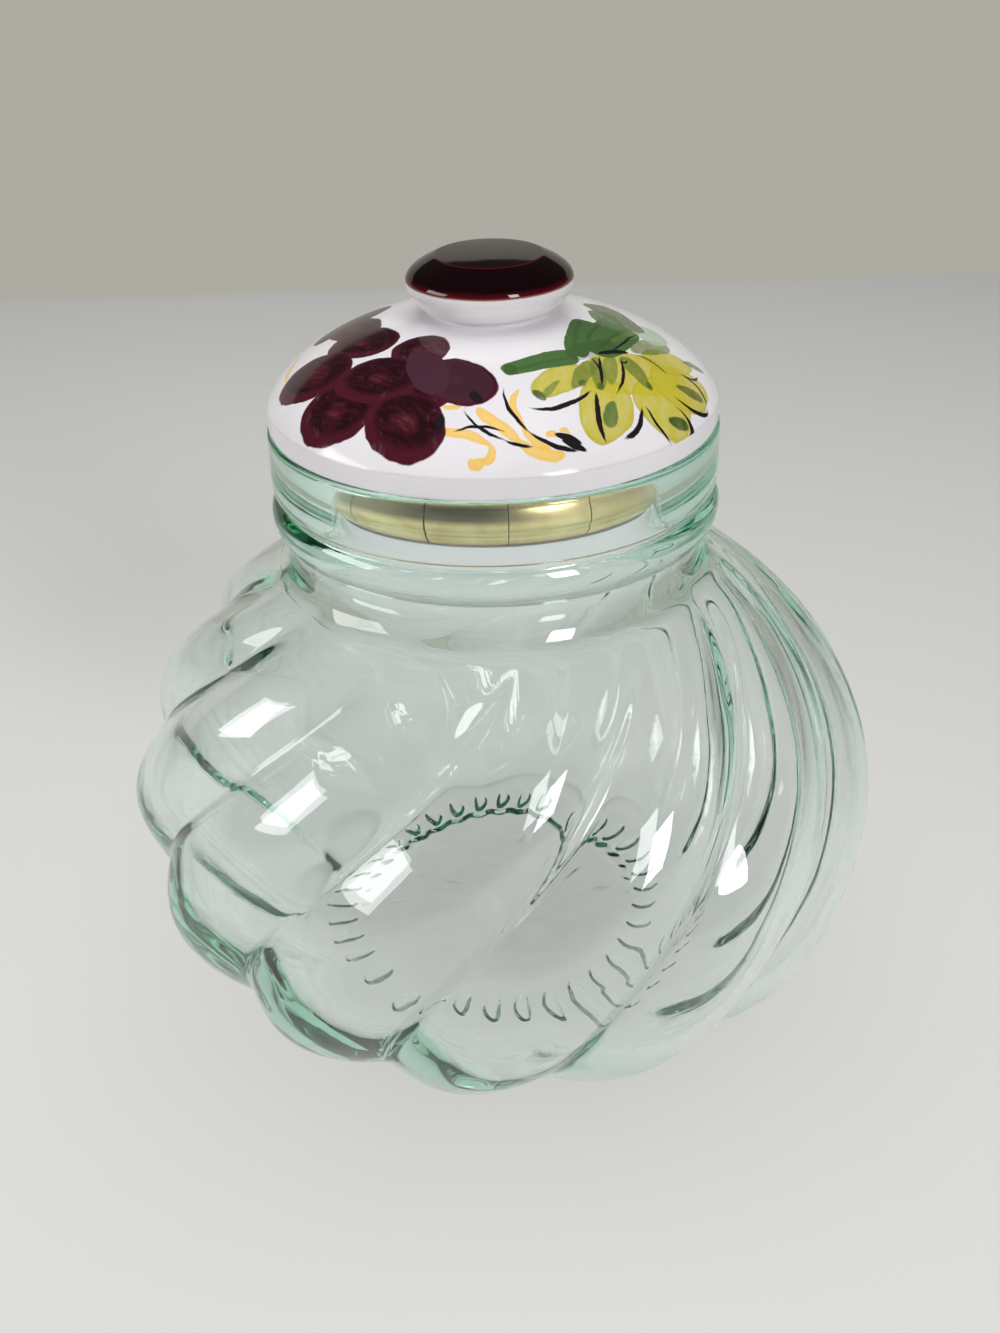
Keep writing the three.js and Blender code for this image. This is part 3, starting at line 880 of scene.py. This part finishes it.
class Painting:
    """Brush marks laid one over another on a ground, in plan millimetres from the lid's axis."""

    def __init__(self, finish, plan, ground, load, streaks):
        self.finish = finish
        self.plan = plan
        self.ground = ground
        self.load = load
        self.streaks = streaks

    def offset(self, middle, direction, reach):
        """How far a point lies from a middle along a direction, counted in reaches."""
        arrow = direction / reach
        names = {0: self.plan, 1: (*arrow, 0)}
        reading = self.finish.node("ShaderNodeVectorMath", {"operation": "DOT_PRODUCT"}, names, "Value")
        return reading - arrow.dot(middle)

    def mark(self, middle, reach, turn, taper=0.0, bow=0.0, blunt=False, boxy=False):
        """How deep inside a mark a point lies: an oval, blunt or boxy dab, tapered and bowed along it."""
        angle = math.radians(turn)
        along = self.offset(middle, Vector((math.cos(angle), math.sin(angle))), reach[0])
        across = self.offset(middle, Vector((-math.sin(angle), math.cos(angle))), reach[1])
        square = along * along
        if bow:
            across = across + (square - 1) * (bow / reach[1])
        if taper:
            across = across / (1 + along * taper)
        ends = square * square if blunt or boxy else square
        sides = across * across
        if boxy:
            sides = sides * sides
        return (1 - ends - sides) * (reach[1] / 2)

    def lay(self, inside, pigment, strength, edge=BRUSH_EDGE):
        """Covers the ground inside a mark, softened over an edge in millimetres."""
        cover = (inside / edge).held() * self.load * strength
        self.ground = self.finish.mixed(cover, self.ground, pigment)

    def pool(self, inside, pigment):
        """Darkens the rim of a mark, where wet pigment gathers."""
        rim = (inside / BRUSH_EDGE).held() - (inside / POOL_WIDTH).held()
        self.ground = self.finish.mixed(rim * POOL_STRENGTH, self.ground, pigment)

    def grape(self, middle, reach, turn, red_share):
        """A burgundy wash under a darker coat, with a soft red middle."""
        middle, reach = Vector(middle), Vector(reach)
        self.lay(self.mark(middle, reach, turn), GRAPE_WASH, GRAPE_WASH_STRENGTH)
        coat = self.mark(middle + GRAPE_COAT_SHIFT, reach * GRAPE_COAT_SHARE, turn)
        self.lay(coat, GRAPE_DARK, self.streaks, GRAPE_COAT_EDGE)
        red = self.mark(middle, reach * red_share, turn)
        self.lay(red, GRAPE_RED, GRAPE_RED_STRENGTH - self.streaks, reach.y * red_share)

    def stroke(self, start, through, end, width, blunt):
        """A line bowed through a point, thinned or blunt at both ends."""
        start, through, end = Vector(start), Vector(through), Vector(end)
        middle, run = (start + end) / 2, end - start
        side = Vector((-run.y, run.x)).normalized()
        turn = math.degrees(math.atan2(run.y, run.x))
        bow = (through - middle).dot(side)
        return self.mark(middle, (run.length / 2, width), turn, bow=bow, blunt=blunt)


LID_LINE_WIDTH = 0.6 * MM
LID_LINE_STRENGTH = 0.5
WAVER_SCALE = 0.14
BRUSH_STRETCH = (0.7, 0.3, 1)
BRUSH_SCALE = 0.8
BRUSH_LOAD = 0.74
BRUSH_LOAD_SPREAD = 0.4
STREAK_CONTRAST = 2.2
STREAK_OFFSET = 0.2
STREAK_LEAST = 0.5


def painted_glaze():
    """White glaze with brushed grapes, a vine leaf and tendrils under its gloss."""
    material, finish = new_finish("painted_glaze")
    place = finish.place()
    ground, normal = glaze_ground(finish, place)
    height = finish.node("ShaderNodeSeparateXYZ", {}, {0: place}).other("Z")
    gap = (height - DOME_FOOT) / LID_LINE_WIDTH
    ground = finish.mixed((1 - gap * gap).held() * LID_LINE_STRENGTH, ground, GLAZE_PINK)
    plan = finish.stretched(place, (1 / MM, 1 / MM, 0))
    waver = finish.noise(plan, WAVER_SCALE, 3, "Color")
    names = {0: waver, 1: (0.5, 0.5, 0.5)}
    centred = finish.node("ShaderNodeVectorMath", {"operation": "SUBTRACT"}, names)
    shaken = finish.node(
        "ShaderNodeVectorMath", {"operation": "MULTIPLY_ADD"},
        {0: centred, 1: (4 * BRUSH_WAVER, 4 * BRUSH_WAVER, 0), 2: plan},
    )
    bristles = finish.noise(finish.stretched(plan, BRUSH_STRETCH), BRUSH_SCALE, 3)
    load = (bristles * BRUSH_LOAD_SPREAD + BRUSH_LOAD).held()
    names = {"Vector": shaken, "Rotation": (0, 0, GRAPE_STREAK_TURN), "Scale": GRAPE_STREAK_SIZE}
    combed = finish.node("ShaderNodeMapping", {"vector_type": "TEXTURE"}, names)
    streaks = (finish.noise(combed, 1, 2) * STREAK_CONTRAST - STREAK_OFFSET).held(STREAK_LEAST, 1)
    painting = Painting(finish, shaken, ground, load, streaks)
    for tendril in TENDRILS:
        inside = painting.stroke(*tendril, blunt=True)
        painting.lay(inside, OCHRE, OCHRE_STRENGTH)
        painting.pool(inside, OCHRE_DEEP)
    for lobe in LEAF_LOBES:
        inside = painting.mark(*lobe)
        painting.lay(inside, YELLOW, YELLOW_STRENGTH)
        painting.pool(inside, YELLOW_DEEP)
    for middle, reach, turn, taper, pigment, strength in LEAF_DABS:
        painting.lay(painting.mark(middle, reach, turn, taper), pigment, strength)
    for middle, reach, turn, taper, pigment, strength in LEAF_BLOCKS:
        painting.lay(painting.mark(middle, reach, turn, taper, boxy=True), pigment, strength)
    for grape in GRAPES:
        painting.grape(*grape)
    for middle, reach, turn, pigment, strength in GRAPE_TOUCHES:
        painting.lay(painting.mark(middle, reach, turn), pigment, strength)
    for start, through, end, width in STROKES:
        inside = painting.stroke(start, through, end, width * STROKE_FULLNESS, blunt=False)
        painting.lay(inside, BLACK, STROKE_STRENGTH, STROKE_EDGE)
    glazed(finish, painting.ground, normal)
    return material


BRASS = colour(255, 230, 176)
BRASS_TARNISH = colour(220, 184, 120)
# Painted shade: a dull colour laid over the band's upper half on the left, standing for the dark room
# reflected there
BRASS_PAINTED_SHADE = colour(140, 126, 96)
PAINTED_SHADE_FADE = 1.5 * MM
PAINTED_SHADE_END_X = 22 * MM
PAINTED_SHADE_END_FADE = 24 * MM
BRASS_LINE_STRETCH = (1, 1, 60)
BRASS_LINE_SCALE = 60
BRASS_LINE_DEPTH = 0.02 * MM
BRASS_LINE_STRENGTH = 0.6
BRASS_ROUGHNESS = 0.24
BRASS_ROUGHNESS_SPREAD = 0.12
TARNISH_SCALE = 150
TARNISH_CONTRAST = 2
TARNISH_OFFSET = 0.8


def spring_brass():
    """Rolled brass with fine lines and a little tarnish, and painted shade above its middle on one side
    that stands for a dark reflection.
    """
    material, finish = new_finish("spring_brass")
    place = finish.place()
    lines = finish.noise(finish.stretched(place, BRASS_LINE_STRETCH), BRASS_LINE_SCALE, 4)
    tarnish = finish.noise(place, TARNISH_SCALE, 4) * TARNISH_CONTRAST - TARNISH_OFFSET
    metal = finish.mixed(tarnish.held(), BRASS, BRASS_TARNISH)
    parts = finish.node("ShaderNodeSeparateXYZ", {}, {0: place})
    # Painted shade standing for a dark reflection: the band darkens from its middle upwards, fading out
    # towards the right, where the band stays bright
    painted_shade_upper = ((parts.other("Z") - BAND_MIDDLE) / PAINTED_SHADE_FADE).held()
    side = ((PAINTED_SHADE_END_X - parts.other("X")) / PAINTED_SHADE_END_FADE).held()
    metal = finish.mixed(painted_shade_upper * side, metal, BRASS_PAINTED_SHADE)
    names = {
        "Base Color": metal,
        "Metallic": 1.0,
        "Roughness": lines * BRASS_ROUGHNESS_SPREAD + BRASS_ROUGHNESS,
        "Normal": finish.bumped(lines, BRASS_LINE_DEPTH, BRASS_LINE_STRENGTH),
    }
    finish.end(finish.node("ShaderNodeBsdfPrincipled", {}, names))
    return material


RUBBER = colour(94, 66, 48)
RUBBER_DARK = colour(62, 42, 30)
RUBBER_GRAIN_SCALE = 900
RUBBER_GRAIN_DEPTH = 0.05 * MM
RUBBER_GRAIN_STRENGTH = 0.5
RUBBER_ROUGHNESS = 0.6
RUBBER_ROUGHNESS_SPREAD = 0.2


def brown_rubber():
    """Matt rubber with a fine grain."""
    material, finish = new_finish("brown_rubber")
    place = finish.place()
    grain = finish.noise(place, RUBBER_GRAIN_SCALE, 4)
    names = {
        "Base Color": finish.mixed(grain, RUBBER, RUBBER_DARK),
        "Roughness": grain * RUBBER_ROUGHNESS_SPREAD + RUBBER_ROUGHNESS,
        "Normal": finish.bumped(grain, RUBBER_GRAIN_DEPTH, RUBBER_GRAIN_STRENGTH),
    }
    finish.end(finish.node("ShaderNodeBsdfPrincipled", {}, names))
    return material


# Stage, light and camera

TABLE_END = 0.66
STAGE_REACH = 3.0
STAGE_HEIGHT = 1.3
TABLE_COLOUR = colour(226, 226, 223)
TABLE_ROUGHNESS = 0.6
WALL_COLOUR = colour(174, 171, 162)
EDGE_BLUR = 0.02
FLOOR_END = 0.9
FLOOR_FADE = 0.4


def seen_directly(finish):
    """1 for what the eye, a reflection or clear glass shows, 0 for what only lights other things."""
    rays = finish.node("ShaderNodeLightPath", outlet="Is Camera Ray")
    return (rays + rays.other("Is Glossy Ray") + rays.other("Is Transmission Ray")).held()


def make_stage():
    """A pale table that ends behind the jar, and a quiet wall beyond it that shows at its own colour."""
    material, finish = new_finish("pale_stage")
    place = finish.place()
    along = finish.node("ShaderNodeSeparateXYZ", {}, {0: place}).other("Y")
    away = finish.node("ShaderNodeVectorMath", {"operation": "LENGTH"}, {0: place}, "Value")
    behind = ((along - TABLE_END) / EDGE_BLUR).held()
    beyond = (behind + ((away - FLOOR_END) / FLOOR_FADE).held()).held() * seen_directly(finish)
    names = {"Base Color": TABLE_COLOUR, "Roughness": TABLE_ROUGHNESS}
    table = finish.node("ShaderNodeBsdfPrincipled", {}, names)
    wall = finish.node("ShaderNodeEmission", {}, {"Color": WALL_COLOUR, "Strength": 1.0})
    finish.end(finish.node("ShaderNodeMixShader", {}, {0: beyond, 1: table, 2: wall}))
    shape = bmesh.new()
    foot, corner, top = (2 * TABLE_END, 0), (STAGE_REACH, 0), (STAGE_REACH, STAGE_HEIGHT)
    profile = [(-STAGE_REACH, 0), foot, *bend(foot, corner, top, STAGE_STEPS), top]
    points = [shape.verts.new((-STAGE_REACH, y, z)) for y, z in profile]
    edges = [shape.edges.new(pair) for pair in zip(points, points[1:])]
    made = bmesh.ops.extrude_edge_only(shape, edges=edges)["geom"]
    moved = [element for element in made if isinstance(element, bmesh.types.BMVert)]
    bmesh.ops.translate(shape, verts=moved, vec=(2 * STAGE_REACH, 0, 0))
    bmesh.ops.recalc_face_normals(shape, faces=shape.faces)
    mesh = bpy.data.meshes.new("stage")
    shape.to_mesh(mesh)
    shape.free()
    mesh.shade_smooth()
    mesh.materials.append(material)
    stage = bpy.data.objects.new("stage", mesh)
    bpy.context.scene.collection.objects.link(stage)


LIGHT_AIM = Vector((0, 0, 0.1))
LEFT_WINDOW = {"bearing": -78, "elevation": 22, "distance": 1.1, "wide": 30, "high": 20, "glow": 6.5}
RIGHT_WINDOW = {"bearing": 33, "elevation": 28, "distance": 1.2, "wide": 12, "high": 24, "glow": 17}
CEILING = {"bearing": 180, "elevation": 85, "distance": 1.2, "wide": 50, "high": 50, "glow": 2.6}
ROOM_WALLS = (0.03, 0.03, 0.03, 1)
ROOM_CEILING = (0.05, 0.05, 0.05, 1)
ROOM_FRONT = (0.05, 0.05, 0.05, 1)
WALLS_END = 0.25
WALLS_FADE = 0.25
HORIZON_END = 0.02
HORIZON_FADE = 0.06


def window(name, bearing, elevation, distance, wide, high, glow):
    """A soft box at a bearing from the front and an elevation, so many degrees wide and high."""
    bearing, elevation = math.radians(bearing), math.radians(elevation)
    level = math.cos(elevation)
    away = Vector((math.sin(bearing) * level, -math.cos(bearing) * level, math.sin(elevation)))
    light = bpy.data.lights.new(name, "AREA")
    light.shape = "RECTANGLE"
    light.size = 2 * distance * math.tan(math.radians(wide / 2))
    light.size_y = 2 * distance * math.tan(math.radians(high / 2))
    light.energy = glow * math.pi * light.size * light.size_y
    holder = bpy.data.objects.new(name, light)
    holder.location = LIGHT_AIM + away * distance
    holder.rotation_euler = away.to_track_quat("Z", "Y").to_euler()
    bpy.context.scene.collection.objects.link(holder)
    return holder


def make_light():
    """A dim room with two windows and a soft ceiling."""
    world = bpy.data.worlds.new("room")
    bpy.context.scene.world = world
    world.use_nodes = True
    room = Finish(world.node_tree)
    away = room.node("ShaderNodeTexCoord", outlet="Generated")
    parts = room.node("ShaderNodeSeparateXYZ", {}, {0: away})
    walls = room.mixed((0 - parts.other("Y")).held(), ROOM_WALLS, ROOM_FRONT)
    shade = room.mixed(((parts.other("Z") - WALLS_END) / WALLS_FADE).held(), walls, ROOM_CEILING)
    low = (1 - (parts.other("Z") - HORIZON_END) / HORIZON_FADE).held()
    camera = room.node("ShaderNodeLightPath", outlet="Is Camera Ray")
    shade = room.mixed((camera + low * seen_directly(room)).held(), shade, WALL_COLOUR)
    back = room.node("ShaderNodeBackground", {}, {"Color": shade, "Strength": 1.0})
    room.node("ShaderNodeOutputWorld", {}, {"Surface": back})
    window("left_window", **LEFT_WINDOW)
    window("right_window", **RIGHT_WINDOW)
    ceiling = window("ceiling", **CEILING)
    ceiling.visible_glossy = False
    ceiling.visible_transmission = False


LENS = 42.29
SENSOR_WIDTH = 36
CAMERA_AIM = Vector((0, 0, 88.95 * MM))
CAMERA_DISTANCE = 440.8 * MM
CAMERA_TILT = math.radians(29.99)
CAMERA_ROLL = math.radians(-1.55)


def make_camera():
    camera = bpy.data.cameras.new("camera")
    camera.lens = LENS
    camera.sensor_width = SENSOR_WIDTH
    holder = bpy.data.objects.new("camera", camera)
    ahead = Vector((0, math.cos(CAMERA_TILT), -math.sin(CAMERA_TILT)))
    level_up = Vector((0, math.sin(CAMERA_TILT), math.cos(CAMERA_TILT)))
    level_right = Vector((1, 0, 0))
    right = level_right * math.cos(CAMERA_ROLL) + level_up * math.sin(CAMERA_ROLL)
    up = level_up * math.cos(CAMERA_ROLL) - level_right * math.sin(CAMERA_ROLL)
    turn = Matrix((right, up, -ahead)).transposed().to_4x4()
    holder.matrix_world = Matrix.Translation(CAMERA_AIM - ahead * CAMERA_DISTANCE) @ turn
    bpy.context.scene.collection.objects.link(holder)
    bpy.context.scene.camera = holder


GLASS_BOUNCES = 40
GLOSS_BOUNCES = 16

scene = bpy.context.scene
scene.view_settings.view_transform = "Standard"
scene.cycles.max_bounces = GLASS_BOUNCES
scene.cycles.transmission_bounces = GLASS_BOUNCES
scene.cycles.glossy_bounces = GLOSS_BOUNCES
scene.cycles.transparent_max_bounces = GLASS_BOUNCES
scene.cycles.caustics_refractive = False
scene.cycles.caustics_reflective = False
make_camera()
make_stage()
make_light()
make_jar(green_glass())
make_lid(white_glaze(), painted_glaze(), knob_glaze())
make_liner(brown_rubber())
make_band(spring_brass())
